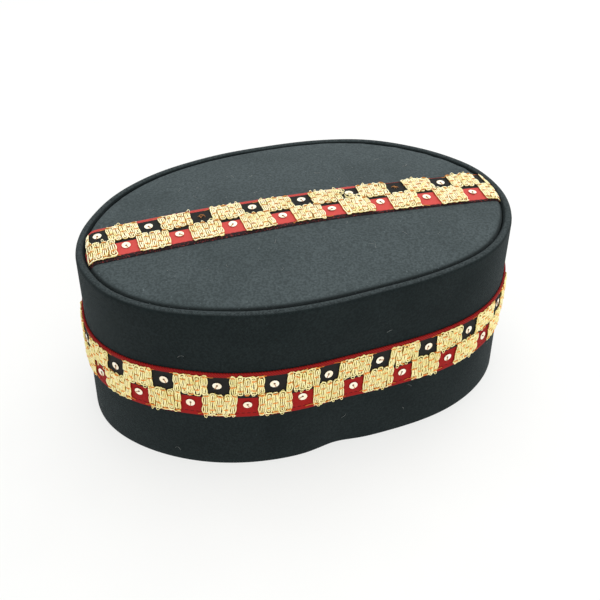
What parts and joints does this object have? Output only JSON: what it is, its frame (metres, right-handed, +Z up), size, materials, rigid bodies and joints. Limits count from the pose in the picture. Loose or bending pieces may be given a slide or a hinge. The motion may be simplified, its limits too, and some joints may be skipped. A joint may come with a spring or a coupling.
{
  "type": "songkok",
  "caption": "Stiff oval black cloth cap, open below, with a domed top panel inside a rolled lip and a red and black ribbon of raised gold patches round its wall and along its top.",
  "frame": {"origin": "the middle of the hat's bounding box, at the height of its rim", "axes": "+X along the hat's long axis, +Z up through its top panel, and the wall's dented side faces -Y"},
  "size_m": [0.2227, 0.1467, 0.0997],
  "materials": {
    "black_cloth": "close-woven black cloth with a soft sheen and a little lint",
    "panel_cloth": "the same black twill, seen lighter on the top panel",
    "woven_ribbon": "dark red ribbon with a black band and cream sequins sewn on with orange thread",
    "gold_thread": "couched pale gold metallic thread with orange stitches"
  },
  "bodies": {
    "root": {"side_wall": "black_cloth", "top_panel": "panel_cloth", "side_ribbon": "woven_ribbon", "top_ribbon": "woven_ribbon", "side_gold_work": "gold_thread", "top_gold_work": "gold_thread"}
  },
  "joints": []
}
